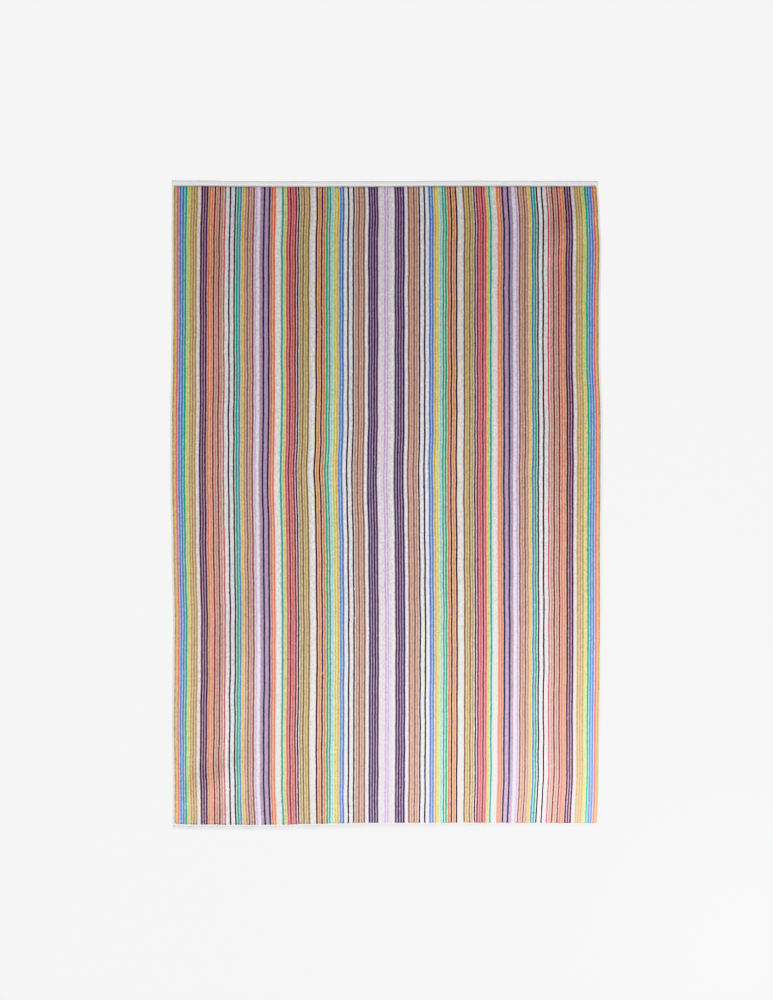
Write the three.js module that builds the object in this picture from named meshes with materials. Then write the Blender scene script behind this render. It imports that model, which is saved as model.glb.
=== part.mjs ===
// A striped terry bath towel, unfolded and laid flat on the floor, pile side up.
// Millimetres, +Z up. X runs across the towel, Y runs along it, and the head hem is at +Y.
// The origin is on the floor, in the middle of the rectangle that the towel covers.
// The towel is one woven cloth: pile in the field, flat weave in both hems and both selvedges.
import * as THREE from 'three';
import { mergeVertices } from 'three/addons/utils/BufferGeometryUtils.js';

// Driving dimensions.
const towelWidth = 1000;
const towelLength = 1500;
const pileThickness = 3.0;
const hemThickness = 2.2;
const hemDepth = 14;
const selvedgeThickness = 1.7;
const selvedgeWidth = 6;
const edgeThickness = 1.1; // the rounded outer edge of a hem or selvedge
const edgeRounding = 1.5; // how far in from the edge the hem or selvedge is at full thickness
const pileShoulder = 3; // the slope from the flat weave up to the top of the pile
const innerColumns = 30; // grid cells across the pile field
const innerRows = 56; // grid cells along the pile field
const sideDrawPower = 1.5; // how fast the drawing in of a side dies out towards the middle
const endDrawPower = 4; // the same for an end

const pileColor = 0xb6a198;
const clothRoughness = 0.95;

// How far each side is drawn in from the plain rectangle, from the tail hem to the head hem.
const sideRows = [
  { y: -750, left: 6.5, right: 9.5 },
  { y: -660, left: 7.3, right: 6.4 },
  { y: -500, left: 5, right: 5 },
  { y: -380, left: 6.5, right: 3 },
  { y: -270, left: 7.3, right: 2.2 },
  { y: -110, left: 4.2, right: 2.7 },
  { y: 60, left: 1, right: 1.2 },
  { y: 200, left: 0.8, right: 0.8 },
  { y: 340, left: 3.2, right: 5.5 },
  { y: 450, left: 4.1, right: 5.7 },
  { y: 600, left: 4.1, right: 3.4 },
  { y: 670, left: 4.1, right: 7 },
  { y: 750, left: 4.3, right: 11.5 },
];

// How far each end is drawn in from the plain rectangle, from the left side to the right side.
const endColumns = [
  { x: -500, tail: 2, head: 0 },
  { x: -430, tail: 0.8, head: 0.3 },
  { x: -330, tail: 0, head: 1.6 },
  { x: -250, tail: 0.4, head: 2.1 },
  { x: -150, tail: 2.8, head: 2.2 },
  { x: -40, tail: 5, head: 2 },
  { x: 180, tail: 5.3, head: 0.7 },
  { x: 500, tail: 4, head: 1.3 },
];

// Soft ridges where the cloth stands off the floor. Each is a long mound about its centre:
// reach is half its length, spread half its width, and turn its angle from the Y axis in degrees.
const ridges = [
  { name: 'upper left', x: -385, y: 480, reach: 230, spread: 70, turn: 9, height: 4.5 },
  { name: 'left of middle', x: -165, y: 300, reach: 330, spread: 85, turn: -7, height: 5 },
  { name: 'right of middle', x: 170, y: 270, reach: 300, spread: 80, turn: 6, height: 4.5 },
  { name: 'head corner, right', x: 420, y: 640, reach: 150, spread: 60, turn: 38, height: 5 },
  { name: 'right side', x: 395, y: 60, reach: 280, spread: 75, turn: -5, height: 4 },
  { name: 'below the middle', x: 105, y: -330, reach: 320, spread: 90, turn: -10, height: 5 },
  { name: 'lower left', x: -340, y: -360, reach: 260, spread: 75, turn: 12, height: 5 },
  { name: 'tail corner, right', x: 400, y: -620, reach: 190, spread: 70, turn: -34, height: 5.5 },
  { name: 'tail corner, left', x: -400, y: -640, reach: 150, spread: 60, turn: 62, height: 4.5 },
];

// Small waves where a hem's stitching has drawn the cloth in. Each row is one run of waves
// along a hem: side is 1 at the head and -1 at the tail, and fade is how far they reach in.
const hemWaves = [
  { name: 'head hem', side: 1, from: -470, to: 470, count: 9, fade: 85, height: 1.8 },
  { name: 'tail hem, left', side: -1, from: -480, to: -120, count: 5, fade: 120, height: 3.2 },
  { name: 'tail hem, right', side: -1, from: -120, to: 480, count: 6, fade: 80, height: 1.6 },
];

const halfWidth = towelWidth / 2;
const halfLength = towelLength / 2;

// A value from a table's named column, eased from one row to the next.
function tableValue(rows, key, at, column) {
  const next = rows.findIndex((row) => row[key] >= at);
  if (next <= 0) {
    return next === 0 ? rows[0][column] : rows[rows.length - 1][column];
  }
  const low = rows[next - 1];
  const high = rows[next];
  const ease = THREE.MathUtils.smoothstep(at, low[key], high[key]);
  return THREE.MathUtils.lerp(low[column], high[column], ease);
}

// Grid lines across one direction: three close together at each edge, for the rounded edge and
// the step up to the pile, and even ones over the field.
function gridLines(half, border, cells) {
  const lowEdge = [-half, -half + edgeRounding, -half + border];
  const fieldStart = -half + border + pileShoulder;
  const field = Array.from(
    { length: cells + 1 },
    (unused, line) => THREE.MathUtils.lerp(fieldStart, -fieldStart, line / cells),
  );
  const highEdge = lowEdge.map((line) => -line).reverse();
  return [...lowEdge, ...field, ...highEdge];
}

// Cloth thickness where its flat place is (x, y).
function clothThickness(x, y) {
  const fromSide = halfWidth - Math.abs(x);
  const fromEnd = halfLength - Math.abs(y);
  const borderWeave = fromEnd <= hemDepth ? hemThickness : selvedgeThickness;
  const fromEdge = Math.min(fromSide, fromEnd);
  const atEdge = THREE.MathUtils.lerp(edgeThickness, borderWeave, Math.min(fromEdge / edgeRounding, 1));
  const pileRise = Math.min(
    THREE.MathUtils.smoothstep(fromSide, selvedgeWidth, selvedgeWidth + pileShoulder),
    THREE.MathUtils.smoothstep(fromEnd, hemDepth, hemDepth + pileShoulder),
  );
  return THREE.MathUtils.lerp(atEdge, pileThickness, pileRise);
}

// 1 at the middle of a mound, 0 at its rim and beyond, with no crease at either.
function mound(part) {
  return Math.abs(part) < 1 ? Math.cos((part * Math.PI) / 2) ** 2 : 0;
}

function ridgeLift(ridge, x, y) {
  const turn = THREE.MathUtils.degToRad(ridge.turn);
  const along = (x - ridge.x) * Math.sin(turn) + (y - ridge.y) * Math.cos(turn);
  const across = (x - ridge.x) * Math.cos(turn) - (y - ridge.y) * Math.sin(turn);
  return ridge.height * mound(along / ridge.reach) * mound(across / ridge.spread);
}

function hemWaveLift(wave, x, y) {
  const fromHem = halfLength - wave.side * y;
  const run = (x - wave.from) / (wave.to - wave.from);
  if (fromHem > wave.fade || run <= 0 || run >= 1) {
    return 0;
  }
  const crest = Math.sin(run * wave.count * Math.PI) ** 2;
  return wave.height * crest * mound(fromHem / wave.fade);
}

// Height of the cloth's underside above the floor where its flat place is (x, y).
function clothLift(x, y) {
  const ridgeLifts = ridges.map((ridge) => ridgeLift(ridge, x, y));
  const waveLifts = hemWaves.map((wave) => hemWaveLift(wave, x, y));
  return [...ridgeLifts, ...waveLifts].reduce((sum, lift) => sum + lift, 0);
}

// The place on the floor of the cloth's flat place (x, y), drawn in towards each edge.
function drawnIn(x, y) {
  const side = x < 0 ? 'left' : 'right';
  const end = y < 0 ? 'tail' : 'head';
  const sideShare = (Math.abs(x) / halfWidth) ** sideDrawPower;
  const endShare = (Math.abs(y) / halfLength) ** endDrawPower;
  const sideInset = tableValue(sideRows, 'y', y, side) * sideShare;
  const endInset = tableValue(endColumns, 'x', x, end) * endShare;
  return [x - Math.sign(x) * sideInset, y - Math.sign(y) * endInset];
}

function makeTowel() {
  const columnLines = gridLines(halfWidth, selvedgeWidth, innerColumns);
  const rowLines = gridLines(halfLength, hemDepth, innerRows);
  const columns = columnLines.length - 1;
  const rows = rowLines.length - 1;

  const block = new THREE.BoxGeometry(columns, rows, 2, columns, rows, 1);
  block.deleteAttribute('normal');
  block.deleteAttribute('uv');
  const cloth = mergeVertices(block);

  const place = cloth.attributes.position;
  for (let corner = 0; corner < place.count; corner += 1) {
    const x = columnLines[Math.round(place.getX(corner) + columns / 2)];
    const y = rowLines[Math.round(place.getY(corner) + rows / 2)];
    const onTop = place.getZ(corner) > 0;
    const lift = clothLift(x, y);
    const [placeX, placeY] = drawnIn(x, y);
    place.setXYZ(corner, placeX, placeY, onTop ? lift + clothThickness(x, y) : lift);
  }
  cloth.computeVertexNormals();

  const terry = new THREE.MeshStandardMaterial({
    color: pileColor,
    roughness: clothRoughness,
    metalness: 0,
  });
  const towel = new THREE.Mesh(cloth, terry);
  towel.name = 'towel';
  return towel;
}

const bathTowel = new THREE.Group();
bathTowel.add(makeTowel());

export default bathTowel;
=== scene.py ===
# %% [markdown]
# A striped terry bath towel, laid flat
#
# The object is one large towel, spread out on a pale floor and seen from straight above. It is a
# single woven cloth. Most of it is pile, cut short and even so that it feels like velvet. At both
# ends the cloth turns into a plain white weave that is folded over and stitched down as a hem, and
# both long sides end in a narrow white selvedge.
#
# Everything here is in metres, but for five tables in millimetres, and in the same frame as the
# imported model: X runs across the towel, Y runs along it, and Z points up from the floor.

# %% Load the fixed frame
import math

import bmesh
import bpy
import numpy as np
from mathutils import Matrix, Vector


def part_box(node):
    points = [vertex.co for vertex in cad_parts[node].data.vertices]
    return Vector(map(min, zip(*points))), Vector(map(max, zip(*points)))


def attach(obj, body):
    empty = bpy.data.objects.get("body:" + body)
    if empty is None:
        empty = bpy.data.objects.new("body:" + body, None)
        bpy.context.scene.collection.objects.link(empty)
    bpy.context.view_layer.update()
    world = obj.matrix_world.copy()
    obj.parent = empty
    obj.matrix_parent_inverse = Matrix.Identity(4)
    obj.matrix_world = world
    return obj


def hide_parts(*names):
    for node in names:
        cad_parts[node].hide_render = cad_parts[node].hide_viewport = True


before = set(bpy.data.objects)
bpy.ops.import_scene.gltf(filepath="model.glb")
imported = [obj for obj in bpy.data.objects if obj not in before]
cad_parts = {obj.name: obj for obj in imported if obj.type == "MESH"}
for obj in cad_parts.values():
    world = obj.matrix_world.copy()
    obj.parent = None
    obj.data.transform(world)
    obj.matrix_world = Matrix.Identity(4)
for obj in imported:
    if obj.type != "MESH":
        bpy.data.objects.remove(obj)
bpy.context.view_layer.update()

towel_low, towel_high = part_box("towel")

# %% [markdown]
# Sizes
#
# A maker would start from the size that the cloth is cut to and the depth of its borders. This is
# the size of the cloth pulled out flat. As it lies it is a little smaller, because the hems and
# selvedges draw it in, and that is the box that the frame holds.

# %% The cloth's own sizes
WIDTH = 1.000
LENGTH = 1.500
HALF_WIDTH = WIDTH / 2
HALF_LENGTH = LENGTH / 2

PILE_THICKNESS = 0.0030
HEM_THICKNESS = 0.0022
HEM_DEPTH = 0.014
SELVEDGE_THICKNESS = 0.0017
SELVEDGE_WIDTH = 0.006
PILE_SHOULDER = 0.003
STITCH_FROM_END = 0.0115
lies_wide = towel_high.x - towel_low.x
lies_long = towel_high.y - towel_low.y
print(f"cloth: {WIDTH:.3f} x {LENGTH:.3f} m, lying as {lies_wide:.3f} x {lies_long:.3f} m")

# %% [markdown]
# How the cloth lies
#
# A towel on a floor is never quite a rectangle. The hems pull its corners in, and the cloth keeps
# a few long soft swells where air stays under it. Each swell, each drawn-in stretch, each run of
# small waves beside a hem and each patch of shifted yarns is one row of a table below.
#
# These could come from a cloth simulation, but a towel that was smoothed flat by hand has its own
# few marks in known places, so they are listed.

# %% Tables of how the cloth lies, in millimetres
MM = 0.001
SIDE_DRAW_POWER = 4  # how fast the drawing in of a side dies out towards the middle
END_DRAW_POWER = 4  # the same for an end

SIDE_ROWS = [  # how far each side is drawn in, from the tail hem to the head hem
    dict(y=-750, left=6.5, right=9.5),
    dict(y=-660, left=7.3, right=6.4),
    dict(y=-500, left=5, right=5),
    dict(y=-380, left=6.5, right=3),
    dict(y=-270, left=7.3, right=2.2),
    dict(y=-110, left=4.2, right=2.7),
    dict(y=60, left=1, right=1.2),
    dict(y=200, left=0.8, right=0.8),
    dict(y=340, left=3.2, right=5.5),
    dict(y=450, left=4.1, right=5.7),
    dict(y=600, left=4.1, right=3.4),
    dict(y=670, left=4.1, right=7),
    dict(y=750, left=4.3, right=11.5),
]

END_COLUMNS = [  # how far each end is drawn in, from the left side to the right side
    dict(x=-500, tail=2, head=0),
    dict(x=-430, tail=0.8, head=0.3),
    dict(x=-330, tail=0, head=1.6),
    dict(x=-250, tail=0.4, head=2.1),
    dict(x=-150, tail=2.8, head=2.2),
    dict(x=-40, tail=5, head=2),
    dict(x=180, tail=5.3, head=0.7),
    dict(x=500, tail=4, head=1.3),
]

RIDGES = [  # long soft swells: half length, half width, and angle from the Y axis
    dict(name="upper left", x=-385, y=480, reach=230, spread=70, turn=9, height=4.5),
    dict(name="left of middle", x=-165, y=300, reach=330, spread=85, turn=-7, height=5),
    dict(name="right of middle", x=170, y=270, reach=300, spread=80, turn=6, height=4.5),
    dict(name="head corner, right", x=420, y=640, reach=150, spread=60, turn=38, height=5),
    dict(name="right side", x=395, y=60, reach=280, spread=75, turn=-5, height=4),
    dict(name="below the middle", x=105, y=-330, reach=320, spread=90, turn=-10, height=5),
    dict(name="lower left", x=-340, y=-360, reach=260, spread=75, turn=12, height=5),
    dict(name="tail corner, right", x=400, y=-620, reach=190, spread=70, turn=-34, height=5.5),
    dict(name="tail corner, left", x=-400, y=-640, reach=150, spread=60, turn=62, height=4.5),
]

HEM_WAVES = [  # small waves where the stitching has drawn a hem in; side is 1 at the head
    dict(name="head hem", side=1, start=-470, stop=470, count=9, fade=85, height=1.8),
    dict(name="tail hem, left", side=-1, start=-480, stop=-120, count=5, fade=120, height=3.2),
    dict(name="tail hem, right", side=-1, start=-120, stop=480, count=6, fade=80, height=1.6),
]

DRIFTS = [  # patches where the yarns lie shifted sideways, and how far
    dict(name="middle", x=-120, y=65, across=430, along=150, sideways=-3.2),
    dict(name="left of middle", x=-180, y=85, across=90, along=70, sideways=-1.3),
    dict(name="tail half", x=-100, y=-320, across=720, along=270, sideways=1.9),
    dict(name="tail, middle", x=0, y=-560, across=330, along=200, sideways=1.2),
    dict(name="head, left", x=-310, y=760, across=330, along=170, sideways=3.0),
    dict(name="head, left side", x=-440, y=640, across=120, along=190, sideways=1.0),
    dict(name="upper left", x=-340, y=440, across=90, along=260, sideways=-1.4),
    dict(name="left side", x=-370, y=190, across=80, along=90, sideways=-1.6),
    dict(name="tail, left", x=-290, y=-740, across=190, along=110, sideways=2.2),
    dict(name="tail, far left", x=-420, y=-590, across=110, along=70, sideways=-1.4),
    dict(name="tail, left of middle", x=-200, y=-530, across=70, along=80, sideways=-1.5),
    dict(name="tail hem, left", x=-230, y=-750, across=330, along=95, sideways=1.7),
    dict(name="tail hem, right", x=330, y=-750, across=190, along=140, sideways=-4.5),
    dict(name="tail corner, left", x=-470, y=-630, across=60, along=70, sideways=-1.8),
    dict(name="tail, right", x=440, y=-590, across=160, along=120, sideways=1.3),
    dict(name="left selvedge", x=-450, y=215, across=70, along=90, sideways=1.6),
    dict(name="left selvedge, lower", x=-430, y=-100, across=70, along=60, sideways=-1.7),
    dict(name="left of middle, upper", x=-140, y=190, across=70, along=50, sideways=-1.4),
    dict(name="middle, upper", x=-10, y=255, across=70, along=70, sideways=-1.3),
    dict(name="head, middle", x=-70, y=690, across=130, along=80, sideways=1.7),
    dict(name="head, left of middle", x=-195, y=660, across=80, along=80, sideways=2.0),
    dict(name="head, right half", x=260, y=660, across=330, along=90, sideways=1.0),
    dict(name="head hem, right", x=270, y=750, across=420, along=110, sideways=-3.6),
    dict(name="head hem, far left", x=-450, y=750, across=90, along=110, sideways=1.8),
    dict(name="head, right", x=270, y=700, across=70, along=70, sideways=-1.9),
    dict(name="head, right side", x=400, y=570, across=150, along=90, sideways=-1.2),
    dict(name="right of middle", x=330, y=40, across=130, along=70, sideways=-1.1),
]
print("swells:", len(RIDGES), "runs of waves:", len(HEM_WAVES), "drifts:", len(DRIFTS))

# %% [markdown]
# Turning the tables into a place for every point
#
# The functions below work on arrays, so one call does the same for every point of a mesh. The points
# of the cloth, its stitches and the tufts at its edge all use them, so nothing on the towel can come
# loose from it.

# %% Soft mounds and steps
def mound(part):
    """1 in the middle, 0 at the rim and beyond, with no crease at either."""
    inside = np.clip(np.abs(part), 0, 1)
    return np.cos(inside * math.pi / 2) ** 2


def smooth_step(value, low, high):
    share = np.clip((value - low) / (high - low), 0, 1)
    return share * share * (3 - 2 * share)


def table_value(rows, key, at, column):
    """A named column of a table, eased from one row to the next."""
    value = np.full_like(at, rows[0][column] * MM)
    for low, high in zip(rows, rows[1:]):
        rise = smooth_step(at, low[key] * MM, high[key] * MM)
        value = value + rise * (high[column] - low[column]) * MM
    return value


# %% Height of the cloth above the floor
def ridge_lift(row, x, y):
    turn = math.radians(row["turn"])
    from_x = x - row["x"] * MM
    from_y = y - row["y"] * MM
    along = from_x * math.sin(turn) + from_y * math.cos(turn)
    across = from_x * math.cos(turn) - from_y * math.sin(turn)
    shape = mound(along / (row["reach"] * MM)) * mound(across / (row["spread"] * MM))
    return row["height"] * MM * shape


def hem_wave_lift(row, x, y):
    from_hem = HALF_LENGTH - row["side"] * y
    run = (x / MM - row["start"]) / (row["stop"] - row["start"])
    crest = np.sin(np.clip(run, 0, 1) * row["count"] * math.pi) ** 2
    return row["height"] * MM * crest * mound(from_hem / (row["fade"] * MM))


def cloth_lift(x, y):
    """Height of the cloth's underside above the floor."""
    ridges = sum(ridge_lift(row, x, y) for row in RIDGES)
    waves = sum(hem_wave_lift(row, x, y) for row in HEM_WAVES)
    return ridges + waves


swell_x, swell_y = (np.array([row[key] * MM for row in RIDGES]) for key in ("x", "y"))
print("lift at the swells, in mm:", np.round(cloth_lift(swell_x, swell_y) / MM, 1).tolist())


# %% Places on the floor
def drift(x, y):
    """How far the yarns have wandered sideways."""
    total = np.zeros_like(x)
    for row in DRIFTS:
        across = mound((x - row["x"] * MM) / (row["across"] * MM))
        along = mound((y - row["y"] * MM) / (row["along"] * MM))
        total = total + row["sideways"] * MM * across * along
    return total


def drawn_in(x, y):
    """The place on the floor of the cloth's flat place."""
    side = np.where(
        x < 0,
        table_value(SIDE_ROWS, "y", y, "left"),
        table_value(SIDE_ROWS, "y", y, "right"),
    )
    end = np.where(
        y < 0,
        table_value(END_COLUMNS, "x", x, "tail"),
        table_value(END_COLUMNS, "x", x, "head"),
    )
    side_share = (np.abs(x) / HALF_WIDTH) ** SIDE_DRAW_POWER
    end_share = (np.abs(y) / HALF_LENGTH) ** END_DRAW_POWER
    return x - np.sign(x) * side * side_share, y - np.sign(y) * end * end_share


corner_x, corner_y = drawn_in(np.array([HALF_WIDTH]), np.array([HALF_LENGTH]))
print(f"the right corner of the head hem lies at {corner_x[0]:.4f}, {corner_y[0]:.4f}")

# %% [markdown]
# Uneven pile
#
# Sheared pile is never perfectly level: it lies in faint lumps a few centimetres across, and its
# yarns wander a little to either side. Sculpting either by hand would be slow work. A dozen or so
# crossing waves with seeded directions give the same unevenness, and give it the same way each run.

# %% Lumps in the pile and wandering yarns
SEED = 41
chance = np.random.default_rng(SEED)


def wave_set(count, shortest, longest):
    """Seeded plane waves: a direction, a wavelength and a phase for each."""
    return [
        dict(
            turn=chance.uniform(0, 2 * math.pi),
            length=chance.uniform(shortest, longest),
            phase=chance.uniform(0, 2 * math.pi),
        )
        for _ in range(count)
    ]


def uneven(waves, x, y):
    """The sum of the waves, from about -1 to 1."""
    total = np.zeros_like(x)
    for wave in waves:
        along = x * math.cos(wave["turn"]) + y * math.sin(wave["turn"])
        total = total + np.sin(along / wave["length"] * 2 * math.pi + wave["phase"])
    return total / math.sqrt(len(waves) * 2)


LUMPS = wave_set(count=14, shortest=0.018, longest=0.060)
WANDER = wave_set(count=12, shortest=0.055, longest=0.140)
LUMP_HEIGHT = 0.00018
WANDER_WIDTH = 0.0005
print("waves for lumps:", len(LUMPS), "and for wandering yarns:", len(WANDER))

# %% [markdown]
# Thickness
#
# The pile stands highest. It slopes down over a few millimetres to the flat weave of the borders,
# and the borders themselves end in a rounded edge. A needle line pulls a shallow groove along the
# hem.

# %% Thickness at each place
EDGE_ROUNDING = 0.0045
EDGE_END_SHARE = 0.3
GROOVE_DEPTH = 0.0005
GROOVE_WIDTH = 0.0012
HELD_WIDTH = 0.05  # near a side the yarns wander less, and at its edge not at all


def thickness(x, y):
    from_side = HALF_WIDTH - np.abs(x)
    from_end = HALF_LENGTH - np.abs(y)
    border = np.where(from_end <= HEM_DEPTH, HEM_THICKNESS, SELVEDGE_THICKNESS)
    groove = mound((from_end - STITCH_FROM_END) / GROOVE_WIDTH) * GROOVE_DEPTH
    rise = np.minimum(
        smooth_step(from_side, SELVEDGE_WIDTH, SELVEDGE_WIDTH + PILE_SHOULDER),
        smooth_step(from_end, HEM_DEPTH, HEM_DEPTH + PILE_SHOULDER),
    )
    lumps = uneven(LUMPS, x, y) * LUMP_HEIGHT
    weave = border - groove
    return weave + rise * (PILE_THICKNESS + lumps - weave)


def edge_share(x, y):
    """How much of the full thickness the rounded outer edge has."""
    from_edge = np.minimum(HALF_WIDTH - np.abs(x), HALF_LENGTH - np.abs(y))
    part = np.clip(from_edge / EDGE_ROUNDING, 0, 1)
    return EDGE_END_SHARE + (1 - EDGE_END_SHARE) * np.sqrt(1 - (1 - part) ** 2)


def place(x, y, level):
    """Where a point of the cloth ends up. level is 0 on the underside and 1 on top."""
    wander = uneven(WANDER, x, y) * WANDER_WIDTH + drift(x, y)
    held = smooth_step(HALF_WIDTH - np.abs(x), 0, HELD_WIDTH)
    spot_x, spot_y = drawn_in(x + wander * held, y)
    thick = thickness(x, y)
    share = edge_share(x, y)
    height = cloth_lift(x, y) + thick * (0.5 + (level - 0.5) * share)
    return np.stack([spot_x, spot_y, height], axis=-1)


print(f"thickness in the very middle: {thickness(np.zeros(1), np.zeros(1))[0] / MM:.2f} mm")

# %% [markdown]
# The cloth
#
# The cloth starts as a flat grid. Straight cuts add the lines where something changes: the rounded
# edge, the needle groove, the edge of the pile and the top of its shoulder. Extruding the whole grid
# gives it a top and an underside, and only then does every point move to its place.
#
# The flat place of each point is kept in a UV map, in metres. The stripes are painted by that map,
# so they follow the cloth wherever it is drawn in.

# %% Where the flat grid is cut, from the edge inwards
CLOTH_COLUMNS = 168
CLOTH_ROWS = 252
EDGE_CUTS = [0.0008, 0.0022]  # close together, for the round of the edge
SIDE_CUTS = [*EDGE_CUTS, 0.0040, SELVEDGE_WIDTH, SELVEDGE_WIDTH + PILE_SHOULDER / 2]
END_CUTS = [
    *EDGE_CUTS,
    EDGE_ROUNDING,
    STITCH_FROM_END - GROOVE_WIDTH,
    STITCH_FROM_END,
    STITCH_FROM_END + GROOVE_WIDTH,
    HEM_DEPTH,
    HEM_DEPTH + PILE_SHOULDER / 2,
    HEM_DEPTH + PILE_SHOULDER,
]
MERGE_WITHIN = 1e-6


# %% The flat cloth, with a top and an underside
def cut_line(shape, spot, across):
    """Adds a line of edges where the plane through spot crosses the shape."""
    bmesh.ops.bisect_plane(
        shape,
        geom=shape.verts[:] + shape.edges[:] + shape.faces[:],
        dist=MERGE_WITHIN,
        plane_co=spot,
        plane_no=across,
    )


def flat_cloth():
    """The cloth before it is laid: its underside at height 0 and its top at 1."""
    cloth = bmesh.new()
    bmesh.ops.create_grid(cloth, x_segments=CLOTH_COLUMNS, y_segments=CLOTH_ROWS, size=0.5)
    bmesh.ops.scale(cloth, vec=(WIDTH, LENGTH, 1), verts=cloth.verts)
    for side in (-1, 1):
        for inset in SIDE_CUTS:
            cut_line(cloth, (side * (HALF_WIDTH - inset), 0, 0), (1, 0, 0))
        for inset in END_CUTS:
            cut_line(cloth, (0, side * (HALF_LENGTH - inset), 0), (0, 1, 0))
    raised = bmesh.ops.extrude_face_region(cloth, geom=cloth.faces[:])
    top = [part for part in raised["geom"] if isinstance(part, bmesh.types.BMVert)]
    bmesh.ops.translate(cloth, vec=(0, 0, 1), verts=top)
    bmesh.ops.recalc_face_normals(cloth, faces=cloth.faces)
    return cloth


# %% Which part of the cloth a face belongs to
PILE, LOOPS, WEAVE = 0, 1, 2  # the places of the cloth's materials in its list


def is_border(face_centres):
    from_side = HALF_WIDTH - np.abs(face_centres[:, 0])
    from_end = HALF_LENGTH - np.abs(face_centres[:, 1])
    return (from_side < SELVEDGE_WIDTH) | (from_end < HEM_DEPTH)


def read_vectors(items, name):
    """One vector of each item of a mesh, as an array."""
    values = np.empty(len(items) * 3)
    items.foreach_get(name, values)
    return values.reshape(-1, 3)


def keep_flat_place(mesh, flat):
    """Writes each corner's flat place on the cloth into the piece's UV map."""
    corners = np.empty(len(mesh.loops), dtype=int)
    mesh.loops.foreach_get("vertex_index", corners)
    layer = mesh.uv_layers.new(name="flat_cloth")
    layer.data.foreach_set("uv", flat[corners].ravel())


def linked(name, data):
    """A new object in the scene, which holds a mesh, a lamp or a camera."""
    holder = bpy.data.objects.new(name, data)
    bpy.context.scene.collection.objects.link(holder)
    return holder


def smooth_piece(name, mesh):
    mesh.polygons.foreach_set("use_smooth", np.ones(len(mesh.polygons), dtype=bool))
    mesh.update()
    return linked(name, mesh)


# %% The cloth in its place
def make_towel():
    mesh = bpy.data.meshes.new("towel_cloth")
    cloth = flat_cloth()
    cloth.to_mesh(mesh)
    cloth.free()

    flat = read_vectors(mesh.vertices, "co")
    centres = read_vectors(mesh.polygons, "center")
    facing = read_vectors(mesh.polygons, "normal")
    faces_down = facing[:, 2] < -0.5
    finish = np.where(faces_down, LOOPS, PILE)
    finish = np.where(is_border(centres), WEAVE, finish)
    mesh.polygons.foreach_set("material_index", finish)

    keep_flat_place(mesh, flat[:, :2])
    mesh.vertices.foreach_set("co", place(flat[:, 0], flat[:, 1], flat[:, 2]).ravel())
    return smooth_piece("towel_cloth", mesh)


towel = make_towel()
print("towel faces:", len(towel.data.polygons))

# %% [markdown]
# Shader maths as plain expressions
#
# A material is a tree of nodes. Wiring dozens of Math nodes by hand hides what they work out, so
# one small class wraps a socket and lets Python's own operators add the nodes. Any other node comes
# from one method, which takes its type, its settings and what goes into its sockets.

# %% A value on its way through a material
class Value:
    """A socket on its way through a material. Sums and products of values add Math nodes."""

    def __init__(self, finish, socket):
        self.finish = finish
        self.socket = socket

    def maths(self, operation, first, second=0.0):
        return self.finish.node("ShaderNodeMath", {"operation": operation}, {0: first, 1: second})

    def __add__(self, other):
        return self.maths("ADD", self, other)

    def __radd__(self, other):
        return self.maths("ADD", other, self)

    def __sub__(self, other):
        return self.maths("SUBTRACT", self, other)

    def __rsub__(self, other):
        return self.maths("SUBTRACT", other, self)

    def __mul__(self, other):
        return self.maths("MULTIPLY", self, other)

    def __rmul__(self, other):
        return self.maths("MULTIPLY", other, self)

    def __truediv__(self, other):
        return self.maths("DIVIDE", self, other)

    def __rtruediv__(self, other):
        return self.maths("DIVIDE", other, self)

    def __abs__(self):
        return self.maths("ABSOLUTE", self)

    def floor(self):
        return self.maths("FLOOR", self)

    def fraction(self):
        return self.maths("FRACT", self)

    def less_than(self, other):
        return self.maths("LESS_THAN", self, other)

    def sine(self):
        return self.maths("SINE", self)

    def beside(self, output):
        """Another output of the same node."""
        return Value(self.finish, self.socket.node.outputs[output])


# %% A material under construction
class Finish:
    """A node material. Its method node adds any node, and close joins it to the output."""

    def __init__(self, name):
        self.material = bpy.data.materials.new(name)
        self.material.use_nodes = True
        self.tree = self.material.node_tree
        self.tree.nodes.clear()

    def node(self, kind, settings=None, sockets=None, output=0):
        """Adds a node, sets it up, feeds its sockets and returns one of its outputs."""
        made = self.tree.nodes.new(kind)
        for name, value in (settings or {}).items():
            if name == "stops":
                set_stops(made.color_ramp, value)
            else:
                setattr(made, name, value)
        for key, value in (sockets or {}).items():
            if isinstance(value, Value):
                self.tree.links.new(value.socket, made.inputs[key])
            else:
                made.inputs[key].default_value = value
        return Value(self, made.outputs[output])

    def close(self, surface):
        """Joins the finished shader to the material's output."""
        end = self.tree.nodes.new("ShaderNodeOutputMaterial")
        self.tree.links.new(surface.socket, end.inputs["Surface"])
        return self.material


def set_stops(ramp, stops):
    """A colour ramp in hard steps: each stop holds its colour up to the next one."""
    ramp.interpolation = "CONSTANT"
    while len(ramp.elements) > 1:
        ramp.elements.remove(ramp.elements[-1])
    ramp.elements[0].position = stops[0][0]
    ramp.elements[0].color = stops[0][1]
    for position, colour in stops[1:]:
        ramp.elements.new(position).color = colour


# %% [markdown]
# Yarn colours
#
# Dyed cotton is given here as its colour would be on screen, and turned into the linear numbers that
# shaders use. The towel has about thirty yarns.

# %% The yarns
def linear(red, green, blue):
    """A colour given from 0 to 255, as on screen, as linear light."""
    shares = [part / 255 for part in (red, green, blue)]
    lit = [s / 12.92 if s <= 0.04045 else ((s + 0.055) / 1.055) ** 2.4 for s in shares]
    return (*lit, 1.0)


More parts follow.
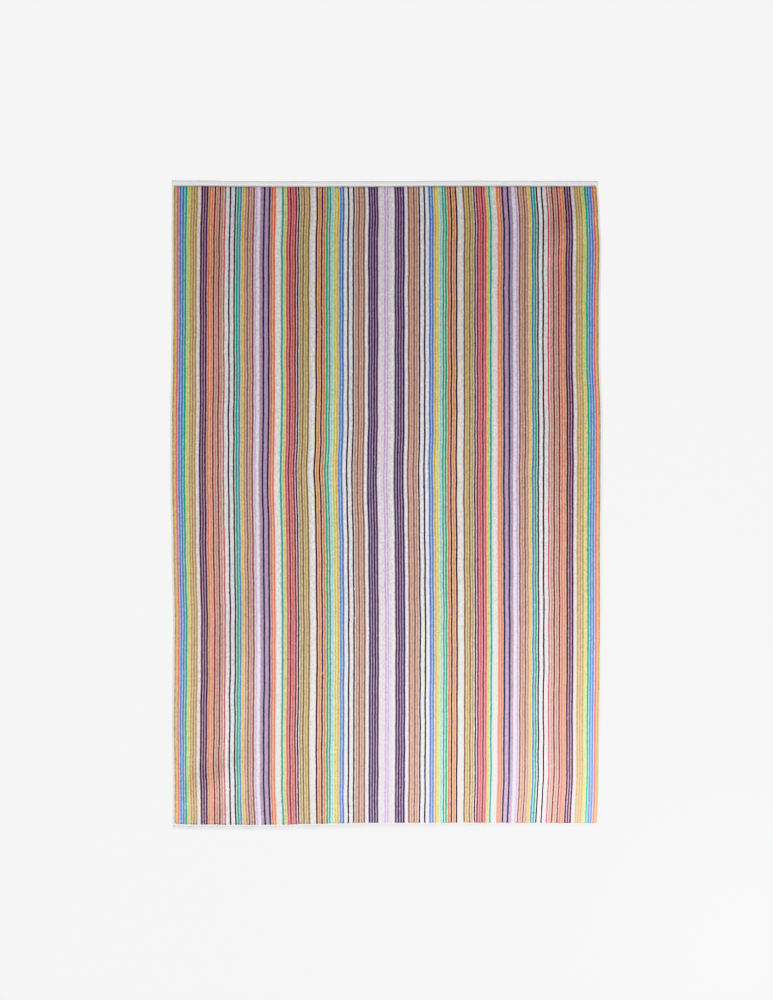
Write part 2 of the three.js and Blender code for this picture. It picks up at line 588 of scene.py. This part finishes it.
YARNS = {
    "ivory": linear(230, 224, 219),
    "cloud": linear(226, 224, 229),
    "pale lilac": linear(230, 218, 231),
    "lilac": linear(204, 172, 212),
    "pale mint": linear(218, 229, 217),
    "mint": linear(184, 220, 196),
    "ink": linear(58, 48, 79),
    "dusk": linear(170, 154, 189),
    "plum": linear(100, 58, 80),
    "mauve": linear(190, 150, 168),
    "khaki": linear(176, 150, 92),
    "tan": linear(186, 140, 108),
    "straw": linear(220, 200, 148),
    "brown": linear(132, 94, 86),
    "blush": linear(224, 183, 173),
    "rose": linear(228, 150, 150),
    "coral": linear(230, 104, 94),
    "red": linear(198, 77, 82),
    "wine": linear(124, 50, 64),
    "sky": linear(166, 198, 230),
    "blue": linear(80, 118, 184),
    "lemon": linear(238, 224, 142),
    "gold": linear(226, 178, 76),
    "lime": linear(196, 202, 112),
    "aqua": linear(154, 208, 208),
    "teal": linear(66, 156, 152),
    "green": linear(24, 160, 108),
    "peach": linear(236, 186, 146),
    "orange": linear(208, 126, 80),
}
print("yarns:", len(YARNS))

# %% [markdown]
# The stripe plan
#
# A weaver plans a stripe as a list of bands, each with so many pairs of lines. Here a pair is one
# line of the ground colour and one coloured line beside it, and the coloured lines take turns
# between two yarns. The plan runs from the middle of the towel out to the selvedge, and the other
# half mirrors it, in unbroken lines from hem to hem.

# %% The stripe plan, from the middle outwards
PAIR = 0.0061
LINE_SHARE = 0.6

BANDS = [
    dict(pairs=1, ground="pale lilac", first="lilac", second="lilac"),
    dict(pairs=2, ground="ivory", first="cloud", second="pale lilac"),
    dict(pairs=4, ground="dusk", first="ink", second="plum"),
    dict(pairs=1, ground="ivory", first="ivory", second="cloud"),
    dict(pairs=4, ground="blush", first="brown", second="tan"),
    dict(pairs=4, ground="ivory", first="ink", second="cloud"),
    dict(pairs=2, ground="sky", first="blue", second="blue"),
    dict(pairs=2, ground="lemon", first="gold", second="lime"),
    dict(pairs=1, ground="pale mint", first="aqua", second="aqua"),
    dict(pairs=2, ground="mint", first="green", second="teal"),
    dict(pairs=4, ground="peach", first="ink", second="orange"),
    dict(pairs=2, ground="ivory", first="cloud", second="pale mint"),
    dict(pairs=4, ground="straw", first="khaki", second="brown"),
    dict(pairs=1, ground="cloud", first="ink", second="ink"),
    dict(pairs=4, ground="rose", first="wine", second="red"),
    dict(pairs=1, ground="lemon", first="lime", second="lime"),
    dict(pairs=1, ground="aqua", first="teal", second="teal"),
    dict(pairs=2, ground="ivory", first="pale mint", second="ivory"),
    dict(pairs=2, ground="peach", first="coral", second="orange"),
    dict(pairs=4, ground="dusk", first="ink", second="mauve"),
    dict(pairs=2, ground="pale lilac", first="cloud", second="lilac"),
    dict(pairs=4, ground="blush", first="brown", second="tan"),
    dict(pairs=1, ground="lemon", first="gold", second="gold"),
    dict(pairs=2, ground="aqua", first="green", second="blue"),
    dict(pairs=4, ground="ivory", first="cloud", second="ink"),
    dict(pairs=1, ground="cloud", first="red", second="red"),
    dict(pairs=4, ground="blush", first="tan", second="wine"),
    dict(pairs=2, ground="peach", first="coral", second="orange"),
    dict(pairs=3, ground="mauve", first="ink", second="plum"),
    dict(pairs=1, ground="ivory", first="pale lilac", second="pale lilac"),
    dict(pairs=3, ground="straw", first="khaki", second="tan"),
    dict(pairs=1, ground="lemon", first="lime", second="lime"),
    dict(pairs=1, ground="aqua", first="green", second="green"),
    dict(pairs=2, ground="sky", first="blue", second="blue"),
    dict(pairs=1, ground="blush", first="coral", second="coral"),
    dict(pairs=1, ground="straw", first="gold", second="gold"),
]
PAIRS = sum(band["pairs"] for band in BANDS)
print("pairs from the middle:", PAIRS, "bands:", len(BANDS), f"reach {PAIRS * PAIR:.4f} m")

# %% [markdown]
# Nodes that the finishes share
#
# Nothing in cloth is quite even, so each of its finishes needs some noise. The noise is flat, as
# cloth is, and it is moved to lie about zero, so that it can be added without making the whole
# lighter or darker. Colours are mixed by a node of their own, because a Math node would turn them
# grey.

# %% Noise, mixed colours and tones
NOISE_ROUGHNESS = 0.6
MIX_FIRST, MIX_SECOND = 6, 7  # the places of a Mix node's two colours
MIX_COLOUR = 2  # the place of the mixed colour among its outputs


def place_on(finish):
    """The flat place on the cloth, in metres."""
    return finish.node("ShaderNodeUVMap", {"uv_map": "flat_cloth"})


def raw_noise(finish, spot, scale, detail=1.0, output=0):
    """Noise from 0 to 1, or three noises as a colour. scale is how many lumps go to a metre."""
    return finish.node(
        "ShaderNodeTexNoise",
        {"noise_dimensions": "2D"},
        {"Vector": spot, "Scale": scale, "Detail": detail, "Roughness": NOISE_ROUGHNESS},
        output=output,
    )


def noise(finish, spot, scale, detail=1.0):
    """Noise about 0, from about -0.5 to 0.5."""
    return raw_noise(finish, spot, scale, detail) - 0.5


def mixed(finish, share, first, second):
    """A colour between two colours."""
    return finish.node(
        "ShaderNodeMix",
        {"data_type": "RGBA"},
        {"Factor": share, MIX_FIRST: first, MIX_SECOND: second},
        output=MIX_COLOUR,
    )


def shaded(finish, colour, tone, strength=1.0, hue=0.5):
    """The colour times a tone near 1. A strength of 1 and a hue of 0.5 leave it as it is."""
    return finish.node(
        "ShaderNodeHueSaturation",
        sockets={"Color": colour, "Hue": hue, "Saturation": strength, "Value": tone},
    )


# %% [markdown]
# Looking up the stripe plan
#
# The stripes could be an image, but then they would have one fixed fineness. Here the number of a
# pair, counted from the middle, is looked up in colour ramps with hard steps, one step for each
# band. A noise makes the lines wander a little. No two yarns come out of the dye quite alike, so
# each line has a tone and a hue a little of its own.

# %% The yarn at each place
FIRST_RAMP = 18  # bands in the inner ramp: one ramp holds 32 stops at the most
DYE_TONE = 0.16
DYE_HUE = 0.035
LINE_WANDER = 0.0016
LINE_WANDER_SCALE = 1 / 0.009


def band_stops(column, bands, reached):
    """Ramp stops for one column of some bands. The whole plan goes from 0 to 1."""
    stops = [(0.0, YARNS[bands[0][column]])]
    for band, after in zip(bands, bands[1:]):
        reached += band["pairs"]
        stops.append((reached / PAIRS, YARNS[after[column]]))
    return stops


def banded(finish, pair_number, column):
    """The yarn of one column of the plan, at a pair's number from the middle."""
    along = (pair_number + 0.5) / PAIRS
    inner_pairs = sum(band["pairs"] for band in BANDS[:FIRST_RAMP])
    inner_stops = band_stops(column, BANDS[:FIRST_RAMP], 0)
    outer_stops = band_stops(column, BANDS[FIRST_RAMP:], inner_pairs)
    inner = finish.node("ShaderNodeValToRGB", {"stops": inner_stops}, {"Fac": along})
    outer = finish.node("ShaderNodeValToRGB", {"stops": outer_stops}, {"Fac": along})
    return mixed(finish, pair_number.less_than(inner_pairs), outer, inner)


def dyed(finish, colour, line_number):
    """The colour with the small chance difference that each dyed line has."""
    dye = finish.node(
        "ShaderNodeTexWhiteNoise", {"noise_dimensions": "1D"}, {"W": line_number}, output="Color"
    )
    red = finish.node("ShaderNodeSeparateColor", sockets={"Color": dye})
    tone = 1 + (red - 0.5) * DYE_TONE
    hue = 0.5 + (red.beside("Green") - 0.5) * DYE_HUE
    return shaded(finish, colour, tone, hue=hue)


def stripe_colour(finish, spot):
    """The yarn colour at each place of the cloth."""
    across = finish.node("ShaderNodeSeparateXYZ", sockets={"Vector": spot})
    wander = noise(finish, spot, LINE_WANDER_SCALE) * LINE_WANDER
    wandered = (across + wander) / PAIR
    pair = abs(wandered)
    pair_number = pair.floor()
    is_even = (pair_number / 2).fraction().less_than(0.25)  # half an even number has no fraction
    first = banded(finish, pair_number, "first")
    second = banded(finish, pair_number, "second")
    line = dyed(finish, mixed(finish, is_even, second, first), wandered.floor())
    is_line = abs(pair.fraction() - 0.5).less_than(LINE_SHARE / 2)
    return mixed(finish, is_line, banded(finish, pair_number, "ground"), line)


# %% [markdown]
# Tufts
#
# Cut pile is a field of small tufts. They stand in rows, one row for each pile yarn, and a tuft
# shows the colour of its yarn all over its top. Modelled one by one they would be millions of
# faces. So the pile is a Voronoi pattern with one cell for each tuft, on a grid stretched to the
# spacing of the yarns, and the stripe plan is looked up at the middle of the cell. A line is three
# rows of tufts wide and the gap beside it two. A fine noise frays the outline of each tuft.

# %% One cell for each tuft
TUFT_COLUMN = PAIR / 5
TUFT_ROW = 0.0017
TUFT_SCATTER = 0.45  # how far a tuft may stand from its place in the grid, in cells
FIBRE = 1 / 0.0005
FRAY = 0.0012  # how far fibres blur the outline of a tuft


def scaled_and_moved(finish, spot, scale, move):
    """A vector times a scale, and then moved."""
    return finish.node(
        "ShaderNodeVectorMath", {"operation": "MULTIPLY_ADD"}, {0: spot, 1: scale, 2: move}
    )


def frayed(finish, spot):
    """The place moved a hair's breadth by chance, which roughens the outline of each tuft."""
    chances = raw_noise(finish, spot, FIBRE, output="Color")
    about_zero = scaled_and_moved(finish, chances, (1, 1, 1), (-0.5, -0.5, -0.5))
    return scaled_and_moved(finish, about_zero, (FRAY, FRAY, 0), spot)


def tuft_cells(finish, spot):
    """One cell for each tuft: how far out in it a place is, its middle, and a random shade."""
    centring = TUFT_SCATTER / 2 - 0.5
    on_grid = scaled_and_moved(
        finish,
        frayed(finish, spot),
        (1 / TUFT_COLUMN, 1 / TUFT_ROW, 0),
        (centring, centring, 0),
    )
    cell = finish.node(
        "ShaderNodeTexVoronoi",
        {"voronoi_dimensions": "2D", "feature": "F1"},
        {"Vector": on_grid, "Scale": 1.0, "Randomness": TUFT_SCATTER},
    )
    middle = scaled_and_moved(
        finish,
        cell.beside("Position"),
        (TUFT_COLUMN, TUFT_ROW, 0),
        (-centring * TUFT_COLUMN, -centring * TUFT_ROW, 0),
    )
    chances = finish.node("ShaderNodeSeparateColor", sockets={"Color": cell.beside("Color")})
    return cell, middle, chances - 0.5


tufts_in_all = WIDTH / TUFT_COLUMN * LENGTH / TUFT_ROW
print(f"tufts in the pattern: about {tufts_in_all:,.0f}")

# %% [markdown]
# Cotton
#
# Cotton is matt: it has a soft sheen and no gloss. All four finishes end in this one shader, each
# with a colour, a height that becomes a bump, and a relief that says how tall the height is.

# %% Matt cotton
COTTON_ROUGHNESS = 0.95
COTTON_SHINE = 0.15
SHEEN_ROUGHNESS = 0.5
BUMP_STRENGTH = 0.6
PILE_SHEEN = 0.25
FLAT_SHEEN = 0.1


def mingled(parts, weights, base=0.0):
    """A base plus the parts of a finish, each times its own weight."""
    return sum((parts[name] * weight for name, weight in weights.items()), base)


def cotton(finish, colour, height, relief, sheen):
    normal = finish.node(
        "ShaderNodeBump",
        sockets={"Strength": BUMP_STRENGTH, "Distance": relief, "Height": height},
    )
    shader = finish.node(
        "ShaderNodeBsdfPrincipled",
        sockets={
            "Base Color": colour,
            "Roughness": COTTON_ROUGHNESS,
            "Specular IOR Level": COTTON_SHINE,
            "Sheen Weight": sheen,
            "Sheen Roughness": SHEEN_ROUGHNESS,
            "Normal": normal,
        },
    )
    return finish.close(shader)


# %% [markdown]
# The cut pile on top
#
# Each tuft is a shade lighter or darker than the next, and clumps of tufts lean together. The gaps
# between tufts are painted dark, and each tuft's top is painted lighter than its sides, as painted
# shade. So the tone and the height at a place are both sums of the same few parts, and two short
# tables say how much of each part goes in. The pile's colour is also painted darker towards the head
# hem and paler, with weaker colours, towards the tail hem: painted shade and painted light for the
# lamps' falloff along the towel.

# %% Cut pile
CLUMP = 1 / 0.0055
PATCH = 1 / 0.016
FINE_DETAIL = 2.0  # clumps and patches have finer noise in them
# Painted shade: the gap tone darkens the pile between the tufts, and the dome part of PILE_TONE
# makes each tuft's top lighter than its sides.
PILE_GAP_PAINTED_SHADE = 0.40  # tone between the tufts, where little light gets in
PILE_TONE = dict(dome=0.54, shade=0.18, clumps=0.56, patches=0.12, fibres=0.10)
PILE_HEIGHT = dict(dome=1.1, fibres=0.4, clumps=1.5, patches=1.0)
PILE_RELIEF = 0.0005
# Painted shade and painted light along the towel: the pile's tone is painted darker at the head hem
# and lighter at the tail hem, and its colours are painted weaker at the tail hem.
PAINTED_SHADE_AT_HEAD = 0.81
PAINTED_LIGHT_AT_TAIL = 1.09
PAINTED_LIGHT_COLOUR_STRENGTH_AT_HEAD = 0.97
PAINTED_LIGHT_COLOUR_STRENGTH_AT_TAIL = 0.83


def along_towel(finish, spot, at_head, at_tail):
    """A number that goes evenly from the head hem to the tail hem."""
    along = finish.node("ShaderNodeSeparateXYZ", sockets={"Vector": spot}, output="Y")
    return finish.node(
        "ShaderNodeMapRange",
        sockets={
            "Value": along,
            "From Min": HALF_LENGTH,
            "From Max": -HALF_LENGTH,
            "To Min": at_head,
            "To Max": at_tail,
        },
    )


def pile_finish():
    finish = Finish("cut_pile")
    spot = place_on(finish)
    outward, middle, shade = tuft_cells(finish, spot)
    parts = dict(
        dome=1 - outward * outward,
        shade=shade,
        clumps=noise(finish, spot, CLUMP, FINE_DETAIL),
        patches=noise(finish, spot, PATCH, FINE_DETAIL),
        fibres=noise(finish, spot, FIBRE),
    )
    # painted shade towards the head hem, and painted light with weaker colours towards the tail hem
    lean = along_towel(finish, spot, PAINTED_SHADE_AT_HEAD, PAINTED_LIGHT_AT_TAIL)
    strength = along_towel(finish, spot, PAINTED_LIGHT_COLOUR_STRENGTH_AT_HEAD, PAINTED_LIGHT_COLOUR_STRENGTH_AT_TAIL)
    tone = mingled(parts, PILE_TONE, base=PILE_GAP_PAINTED_SHADE) * lean
    colour = shaded(finish, stripe_colour(finish, middle), tone, strength)
    return cotton(finish, colour, mingled(parts, PILE_HEIGHT), PILE_RELIEF, PILE_SHEEN)


pile = pile_finish()
print("nodes in the pile:", len(pile.node_tree.nodes))

# %% [markdown]
# The loops underneath
#
# The pile is cut on one face only. On the underside it is left as loops, in the same stripe. They
# are rounder than tufts and cast softer shadows, so their finish has less contrast and more relief.

# %% Terry loops
# Painted shade: the gap tone darkens the loops where they meet, and the dome part of LOOP_TONE makes
# each loop's top lighter than its sides.
LOOP_GAP_PAINTED_SHADE = 0.62
LOOP_TONE = dict(dome=0.44, shade=0.16, patches=0.2)
LOOP_HEIGHT = dict(dome=1.0, patches=1.0)
LOOP_RELIEF = 0.0012


def loop_finish():
    finish = Finish("terry_loops")
    spot = place_on(finish)
    outward, middle, shade = tuft_cells(finish, spot)
    parts = dict(
        dome=1 - outward * outward,
        shade=shade,
        patches=noise(finish, spot, PATCH, FINE_DETAIL),
    )
    tone = mingled(parts, LOOP_TONE, base=LOOP_GAP_PAINTED_SHADE)
    colour = shaded(finish, stripe_colour(finish, middle), tone)
    return cotton(finish, colour, mingled(parts, LOOP_HEIGHT), LOOP_RELIEF, PILE_SHEEN)


loops = loop_finish()
print("nodes in the loops:", len(loops.node_tree.nodes))

# %% [markdown]
# The flat weave
#
# The hems and selvedges are plain woven white cotton. The over and under of such a weave could be
# modelled yarn by yarn, but at one millimetre a yarn it is far too fine to pay for itself. Two sine
# waves at right angles, one along each yarn direction, give it as bump and a faint change of tone.
# The sewing thread is white too, with the faint unevenness of its plies.

# %% White borders and thread
YARN_PITCH = 0.0011
BORDER_WHITE = linear(226, 225, 227)
WEAVE_TONE = dict(over_under=0.03, clumps=0.05)
WEAVE_HEIGHT = dict(over_under=1.0, clumps=1.0)
WEAVE_RELIEF = 0.0003
THREAD_WHITE = linear(232, 231, 232)
PLY = 1 / 0.0004
PLY_TONE = 0.12
THREAD_RELIEF = 0.0002


def weave_finish():
    finish = Finish("flat_weave")
    spot = place_on(finish)
    across = finish.node("ShaderNodeSeparateXYZ", sockets={"Vector": spot})
    along = across.beside("Y")
    turn = 2 * math.pi / YARN_PITCH
    parts = dict(
        over_under=(across * turn).sine() * (along * turn).sine(),
        clumps=noise(finish, spot, CLUMP, FINE_DETAIL),
    )
    colour = shaded(finish, BORDER_WHITE, mingled(parts, WEAVE_TONE, base=1.0))
    return cotton(finish, colour, mingled(parts, WEAVE_HEIGHT), WEAVE_RELIEF, FLAT_SHEEN)


def thread_finish():
    finish = Finish("sewing_thread")
    spot = finish.node("ShaderNodeTexCoord", output="Object")
    plies = noise(finish, spot, PLY)
    colour = shaded(finish, THREAD_WHITE, 1 + plies * PLY_TONE)
    return cotton(finish, colour, plies, THREAD_RELIEF, FLAT_SHEEN)


weave = weave_finish()
thread = thread_finish()
for finish in (pile, loops, weave):
    towel.data.materials.append(finish)
print("materials:", [m.name for m in towel.data.materials])

# %% [markdown]
# The furred edge of the pile
#
# Where the pile stops against the flat weave, its outermost tufts have nothing to lean on, so they
# flop outwards a little. Hair particles could do this too, but they would have to be made a mesh
# before they could be exported. Here one small tapered tuft is modelled once. Its copies are joined
# into one mesh, each set on the cloth with its own lean, and each keeps the flat place of its root,
# so that it takes the colour of its own line.

# %% One tuft
TUFT_LENGTH = 0.0024
TUFT_ROOT = 0.0008
TUFT_TIP = 0.0004
TUFT_SIDES = 4


def rod(root, tip, length, sides):
    """A closed upright rod about the origin, from one radius to another."""
    shape = bmesh.new()
    bmesh.ops.create_cone(
        shape,
        cap_ends=True,
        cap_tris=False,
        segments=sides,
        radius1=root,
        radius2=tip,
        depth=length,
    )
    return shape


def template(shape):
    """A bmesh shape as arrays: its points and its faces."""
    bmesh.ops.recalc_face_normals(shape, faces=shape.faces)
    shape.verts.ensure_lookup_table()
    points = np.array([point.co[:] for point in shape.verts])
    faces = [[point.index for point in face.verts] for face in shape.faces]
    shape.free()
    return points, faces


def tuft_shape():
    tuft = rod(TUFT_ROOT, TUFT_TIP, TUFT_LENGTH, TUFT_SIDES)
    bmesh.ops.translate(tuft, vec=(0, 0, TUFT_LENGTH * 0.5), verts=tuft.verts)
    return template(tuft)


# %% Many copies of a shape in one mesh
def joined_copies(name, shape, places, roots):
    """One mesh of many copies of a shape. places are 4 x 4 matrices, roots flat places."""
    points, faces = shape
    with_ones = np.concatenate([points, np.ones((len(points), 1))], axis=1)
    moved = np.einsum("nij,kj->nki", np.array(places), with_ones)[:, :, :3]
    all_faces = [
        [corner + step * len(points) for corner in face]
        for step in range(len(places))
        for face in faces
    ]
    mesh = bpy.data.meshes.new(name)
    mesh.from_pydata(moved.reshape(-1, 3).tolist(), [], all_faces)
    keep_flat_place(mesh, np.repeat(roots, len(points), axis=0))
    return smooth_piece(name, mesh)


# %% Tufts along the edge of the pile
TUFT_PITCH = 0.0013
TUFT_INSETS = (0.0007, 0.0022)  # how far in from the flat weave each of the two rows stands
TUFT_JITTER = 0.0004
TUFT_SUNK = 0.0012
TUFT_LEAN = (0.25, 0.8)  # the least and the most outwards for each step up
TUFT_ASIDE = 0.3
TUFT_SIZE = (0.75, 1.15)


def edge_line(inset_side, inset_end, pitch):
    """Flat places along a rectangle inside the cloth, with the way out at each."""
    reach_x = HALF_WIDTH - inset_side
    reach_y = HALF_LENGTH - inset_end
    steps_x = np.arange(-reach_x, reach_x, pitch)
    steps_y = np.arange(-reach_y, reach_y, pitch)
    rows = []
    for side in (-1, 1):
        rows += [(x, side * reach_y, 0, side) for x in steps_x]
        rows += [(side * reach_x, y, side, 0) for y in steps_y]
    return np.array(rows)


def tuft_places(spots):
    """A matrix for each tuft: set on top of the cloth and leaning outwards."""
    stood = place(spots[:, 0], spots[:, 1], np.ones(len(spots)))
    places = []
    for (_, _, out_x, out_y), spot in zip(spots, stood):
        lean = chance.uniform(*TUFT_LEAN)
        aside = chance.uniform(-TUFT_ASIDE, TUFT_ASIDE)
        way = Vector((out_x * lean + out_y * aside, out_y * lean + out_x * aside, 1))
        turn = way.to_track_quat("Z", "Y").to_matrix().to_4x4()
        size = chance.uniform(*TUFT_SIZE)
        sunk = Vector(spot) - Vector((0, 0, TUFT_SUNK))
        places.append(Matrix.Translation(sunk) @ turn @ Matrix.Scale(size, 4))
    return places


def make_tufts():
    rows = [
        edge_line(SELVEDGE_WIDTH + inset, HEM_DEPTH + inset, TUFT_PITCH)
        for inset in TUFT_INSETS
    ]
    spots = np.concatenate(rows)
    spots[:, :2] += chance.uniform(-TUFT_JITTER, TUFT_JITTER, (len(spots), 2))
    tufts = joined_copies("pile_edge_top", tuft_shape(), tuft_places(spots), spots[:, :2])
    tufts.data.materials.append(pile)
    return tufts


top_tufts = make_tufts()
print("tuft faces:", len(top_tufts.data.polygons))

# %% [markdown]
# Stitches
#
# Each hem is held by one line of lockstitch. On the real towel a stitch is a short length of thread
# that dips into the cloth at both ends, so one is modelled as a thin rod, bent down at its ends, and
# copied along both hems, on both faces of the cloth. On top most of its thickness stands out. On the
# underside the towel's weight presses it in, and half of it is sunk in the cloth.

# %% One stitch
STITCH_LENGTH = 0.0030
THREAD_RADIUS = 0.00028
THREAD_SIDES = 6
STITCH_BENDS = (-0.3, 0, 0.3)  # where a stitch may bend, in its lengths from the middle
STITCH_DIP = 0.0004


def stitch_shape():
    stitch = rod(THREAD_RADIUS, THREAD_RADIUS, STITCH_LENGTH, THREAD_SIDES)
    for share in STITCH_BENDS:
        cut_line(stitch, (0, 0, share * STITCH_LENGTH), (0, 0, 1))
    along_x = Matrix.Rotation(math.radians(90), 3, "Y")
    bmesh.ops.rotate(stitch, cent=(0, 0, 0), matrix=along_x, verts=stitch.verts)
    for point in stitch.verts:
        end = abs(point.co.x) / (STITCH_LENGTH / 2)
        point.co.z -= STITCH_DIP * end ** 3
    return template(stitch)


# %% The needle line of each hem
STITCH_GAP = 0.0005
STITCH_PROUD = 0.6  # how far the middle of a stitch stands above the top, in radii
STITCH_FROM_SIDE = 0.004


def stitch_places(spots, level):
    """A matrix for each stitch, turned to the slope of the hem."""
    step = STITCH_LENGTH / 2
    heights = np.full(len(spots), float(level))
    before = place(spots[:, 0] - step, spots[:, 1], heights)
    after = place(spots[:, 0] + step, spots[:, 1], heights)
    up = 1 if level else -1
    proud = THREAD_RADIUS * (STITCH_PROUD if level else 0)
    places = []
    for low, high in zip(before, after):
        along = Vector(high - low).normalized()
        aside = Vector((0, 0, up)).cross(along).normalized()
        upward = along.cross(aside)
        turn = Matrix((along, aside, upward)).transposed().to_4x4()
        middle = (Vector(low) + Vector(high)) / 2 + upward * proud
        places.append(Matrix.Translation(middle) @ turn)
    return places


def make_stitches():
    pitch = STITCH_LENGTH + STITCH_GAP
    reach = HALF_WIDTH - STITCH_FROM_SIDE
    steps = np.arange(-reach, reach, pitch)
    line = HALF_LENGTH - STITCH_FROM_END
    spots = np.array([(x, side * line) for side in (-1, 1) for x in steps])
    places = stitch_places(spots, 1) + stitch_places(spots, 0)
    piece = joined_copies("hem_stitches", stitch_shape(), places, np.tile(spots, (2, 1)))
    piece.data.materials.append(thread)
    return piece


stitches = make_stitches()
print("stitch faces:", len(stitches.data.polygons))

# %% [markdown]
# Riding on the frame
#
# The cloth stands for the towel's CAD solid, and the tufts and stitches go with it. The towel was
# cut to a plain rectangle, so its flat size is just its width and length.

# %% Tell the frame what each piece is
for piece in (towel, top_tufts, stitches):
    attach(piece, "root")
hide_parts("towel")

# %% [markdown]
# Floor
#
# The towel lies on an even pale ground with hardly a shadow. A plain white floor would take the
# lamps' falloff and turn grey at one end. So most of this floor's brightness is light of its own, as
# on a light table, and only a small share of it takes light and shadow.

# %% Floor
FLOOR_SIZE = 120.0
FLOOR_BELOW = 0.0003  # clears the thread, which stands 0.00024 out of the underside
FLOOR_WHITE = (1, 1, 1, 1)
FLOOR_GLOW = 1.285
FLOOR_BOARD = 0.12  # the share of the floor that only takes light


def floor_finish():
    finish = Finish("pale_floor")
    glow = finish.node(
        "ShaderNodeEmission", sockets={"Color": FLOOR_WHITE, "Strength": FLOOR_GLOW}
    )
    board = finish.node("ShaderNodeBsdfDiffuse", sockets={"Color": FLOOR_WHITE})
    both = finish.node("ShaderNodeMixShader", sockets={0: FLOOR_BOARD, 1: glow, 2: board})
    return finish.close(both)


def make_floor():
    ground = bmesh.new()
    bmesh.ops.create_grid(ground, x_segments=1, y_segments=1, size=FLOOR_SIZE / 2)
    bmesh.ops.translate(ground, vec=(0, 0, -FLOOR_BELOW), verts=ground.verts)
    mesh = bpy.data.meshes.new("floor")
    ground.to_mesh(mesh)
    ground.free()
    mesh.materials.append(floor_finish())
    return linked("floor", mesh)


make_floor()
print("floor:", FLOOR_SIZE, "m square")

# %% [markdown]
# Light
#
# The towel is brighter towards its tail end. Even light from all round fills the shadows. A big soft
# lamp stands far beyond the tail end and low, so that its light also grazes the pile and brings out
# the swells. A small lamp lights the right corner of that end.

# %% Light
SKY_LIGHT = 0.66
SKY_SEEN = 1.30
TAIL_LAMP = dict(spot=Vector((0.4, -14.0, 6.0)), power=2800.0, size=5.0)
CORNER_LAMP = dict(spot=Vector((0.9, -1.1, 0.45)), power=11.0, size=0.5)


def soft_world():
    """Even light all round. Seen past the floor's far edge, it looks as pale as the floor."""
    world = bpy.data.worlds.new("soft_room")
    bpy.context.scene.world = world
    world.use_nodes = True
    nodes, links = world.node_tree.nodes, world.node_tree.links
    seen = nodes.new("ShaderNodeLightPath")
    strength = nodes.new("ShaderNodeMapRange")
    strength.inputs["To Min"].default_value = SKY_LIGHT
    strength.inputs["To Max"].default_value = SKY_SEEN
    links.new(seen.outputs["Is Camera Ray"], strength.inputs["Value"])
    links.new(strength.outputs["Result"], nodes["Background"].inputs["Strength"])
    nodes["Background"].inputs["Color"].default_value = (1, 1, 1, 1)


def add_lamp(name, spot, power, size):
    lamp = bpy.data.lights.new(name, "AREA")
    lamp.energy = power
    lamp.size = size
    holder = linked(name, lamp)
    holder.location = spot
    holder.rotation_mode = "QUATERNION"
    holder.rotation_quaternion = (-spot).to_track_quat("-Z", "Y")
    holder.visible_camera = False


soft_world()
add_lamp("tail_lamp", **TAIL_LAMP)
add_lamp("corner_lamp", **CORNER_LAMP)
bpy.context.scene.view_settings.view_transform = "Khronos PBR Neutral"

# %% [markdown]
# Camera
#
# The camera hangs straight above with a long lens, so the sides stay parallel. Its height follows
# from the lens and from how many of the picture's 1000 rows the towel takes up.

# %% Camera
PICTURE_TALL = 1000
TOWEL_TALL_IN_PICTURE = 650.4
METRES_PER_PIXEL = LENGTH / TOWEL_TALL_IN_PICTURE
CENTRE_RIGHT = 0.1 * METRES_PER_PIXEL
CENTRE_UP = 5.5 * METRES_PER_PIXEL
LENS = 85.0
SENSOR = 36.0

camera_data = bpy.data.cameras.new("camera")
camera_data.lens = LENS
camera_data.sensor_width = SENSOR
camera = linked("camera", camera_data)
distance = PICTURE_TALL * METRES_PER_PIXEL * LENS / SENSOR
camera.location = (CENTRE_RIGHT, CENTRE_UP, distance)
bpy.context.scene.camera = camera
print(f"camera {distance:.2f} m above the floor")
